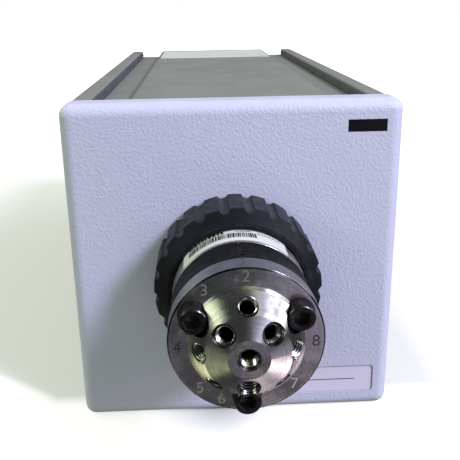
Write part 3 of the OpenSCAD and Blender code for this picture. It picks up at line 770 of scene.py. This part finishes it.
def socket_contacts():
    """Sprung gold wires in the two data sockets."""
    low, high = corners(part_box("bus_sockets"))
    wire = block((0.45 * MM, 9 * MM, 0.3 * MM))
    pick_faces(wire, picks_rear)
    draw_out(0, -4 * MM, -2.2 * MM)
    modify(wire, "BEVEL", width=0.06 * MM, segments=1)
    height = (low.z + high.z) / 2 + 3.6 * MM
    for s, centre in enumerate((low.x + 9.5 * MM, high.x - 9.5 * MM)):
        for k in range(WIRES):
            piece = copy_of(wire)
            across = centre + (k - (WIRES - 1) / 2) * WIRE_PITCH
            piece.location = (across, high.y - 8.5 * MM, height)
            settle(piece, f"socket_{s + 1}_contact_{k + 1}", contact_gold, "drive")
    bpy.data.objects.remove(wire)


socket_contacts()


# ---- pin and springs in the power inlet ----
def inlet_contacts():
    """A round centre pin and two sprung leaves inside the power inlet."""
    low, high = corners(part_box("power_inlet"))
    mouth = Vector(((low.x + high.x) / 2, high.y, (low.z + high.z) / 2))
    pin = cylinder(1.05 * MM, 8 * MM, 32, rotation=(math.pi / 2, 0, 0),
                   location=mouth + Vector((0, -5 * MM, 0)))
    soften(pin, 0.35 * MM, 3)
    settle(pin, "inlet_pin", contact_gold, "drive")
    for n, side in enumerate((-1, 1)):
        leaf = block((0.35 * MM, 4 * MM, 3 * MM))
        pick_faces(leaf, picks_rear)
        draw_out(-side * 0.7 * MM, 1.6 * MM, 0)
        draw_out(side * 0.7 * MM, 1.2 * MM, 0)
        modify(leaf, "BEVEL", width=0.08 * MM, segments=1)
        leaf.location = mouth + Vector((side * 5.6 * MM, -6.6 * MM, 0))
        settle(leaf, f"inlet_leaf_{n + 1}", contact_gold, "drive")


inlet_contacts()


# ---- stage ----
FLOOR_DROP = 0.2 * MM
UNDER_VALVE = (-6 * MM, -90 * MM, 0)


def floor():
    """A pale floor with painted light: it glows more far off, in front and at the right, and a painted
    shadow makes it glow less under the valve.
    """
    start()
    bpy.ops.mesh.primitive_plane_add(size=12, location=(0, 0, -FLOOR_DROP))
    sheet = bpy.context.object
    sheet.name = "floor"
    sheet.visible_glossy = False
    sheet.visible_diffuse = False
    f = Finish("pale_paper", (0.50, 0.50, 0.49), 1.0)
    f.fix(SPECULAR, 0.0)
    f.fix("Emission Color", (1, 1, 1, 1))
    x, y, z = f.parts()
    # painted light: the glow grows from dim near the box to full far off
    far = f.ramp(f.vector("LENGTH", f.place), 0.1, 0.84, 0.295, 1.0)
    # left of the box the bright front reaches further back, painting the slanted edge of the box's
    # shadow
    slant = f.math("MINIMUM", f.math("ADD", x, 64 * MM), 0.0)
    front = f.ramp(f.math("MULTIPLY_ADD", slant, 0.75, y), -71 * MM, -88 * MM, 0.0, 0.66)
    right = f.ramp(x, 45 * MM, 85 * MM, 0.0, 0.42)
    glow = f.math("MAXIMUM", f.math("MAXIMUM", far, front), right)
    # painted shadow under the valve
    shade = f.ramp(f.vector("DISTANCE", f.place, UNDER_VALVE), 0.0, 26 * MM)
    f.join("Emission Strength", f.times(glow, shade))
    sheet.data.materials.append(f.mat)


# soft patches of light: direction, half width in degrees, colour, strength
GLOWS = (
    ((0.92, -0.09, 0.38), 15, (0.95, 0.92, 1.0), 6.4),
    ((-0.76, -0.53, 0.37), 15, (0.91, 1.0, 0.73), 5.9),
    ((-0.77, 0.37, 0.52), 20, (0.9, 1.0, 0.7), 6.0),
    ((0.76, -0.53, 0.37), 15, (1.0, 1.0, 0.96), 3.9),
    ((0.53, -0.53, -0.66), 15, (1.0, 0.83, 0.95), 3.6),
    ((0.19, -0.53, -0.83), 15, (1.0, 0.84, 0.94), 2.5),
    ((-0.52, 0.37, -0.77), 20, (1.0, 1.0, 0.58), 1.7),
    ((0.19, -0.53, 0.83), 15, (1.0, 0.92, 0.43), 1.4),
    ((0.35, -0.87, 0.35), 16, (0.67, 0.68, 1.0), 0.8),
    ((0.35, -0.87, -0.35), 16, (0.84, 0.68, 1.0), 0.75),
    ((-0.53, -0.53, -0.66), 15, (0.97, 1.0, 0.56), 0.57),
    ((-0.76, -0.53, -0.37), 15, (0.91, 1.0, 0.59), 0.56),
    ((0.38, -0.09, 0.92), 15, (0.9, 0.85, 1.0), 0.8),
    ((0.76, -0.53, -0.37), 15, (0.89, 0.81, 1.0), 0.4),
)
DIM = (0.04, 0.045, 0.045)
FILL_GLOWS = (
    ((0.0, 0.0, 1.0), 70, (1.0, 1.0, 1.0), 0.5),
    ((-0.62, -0.45, 0.65), 38, (0.93, 1.0, 0.78), 0.9),
    ((-0.97, 0.2, 0.0), 40, (0.88, 1.0, 0.82), 1.3),
    ((0.55, -0.45, -0.7), 34, (1.0, 0.93, 0.97), 1.3),
    ((0.9, 0.3, 0.2), 50, (0.93, 0.95, 1.0), 0.4),
    ((0.0, 0.98, 0.1), 50, (0.95, 0.97, 1.0), 0.6),
)
FILL = (0.188, 0.224, 0.16)


def studio_air():
    """Soft light all round in patches, one set for gloss and one for matt surfaces, white behind."""
    world = bpy.data.worlds.new("studio_air")
    bpy.context.scene.world = world
    world.use_nodes = True
    air = Nodes(world.node_tree, "Generated")

    def patches(total, glows):
        for towards, wide, colour, strength in glows:
            facing = air.vector("DOT_PRODUCT", air.place, Vector(towards).normalized())
            soft = air.ramp(facing, math.cos(math.radians(wide)), 1.0)
            total = air.vector("MULTIPLY_ADD", soft, toned(colour, strength), total)
        return total

    path = air.node("LightPath")
    light = air.mix(path.outputs["Is Diffuse Ray"], patches(DIM, GLOWS), patches(FILL, FILL_GLOWS))
    seen = air.mix(path.outputs["Is Camera Ray"], light, (1, 1, 1, 1))
    air.tree.links.new(seen, air.tree.nodes["Background"].inputs["Color"])


def lamp(name, way, distance, size, power, colour):
    """A square soft box, seen from the valve in the direction given."""
    target = Vector((0, COVER_FACE, AXIS.z))
    towards = Vector(way).normalized()
    bpy.ops.object.light_add(type="AREA", location=target + towards * distance)
    light = bpy.context.object
    light.name = name
    light.data.shape = "SQUARE"
    light.data.size = size
    light.data.energy = power
    light.data.color = colour
    light.rotation_mode = "QUATERNION"
    light.rotation_quaternion = towards.to_track_quat("Z", "Y")


bpy.context.scene.view_settings.view_transform = "Standard"
floor()
studio_air()
lamp("key_window", (0.613, -0.476, 0.63), 2.5, 0.6, 78.5, (0.79, 0.78, 1.0))
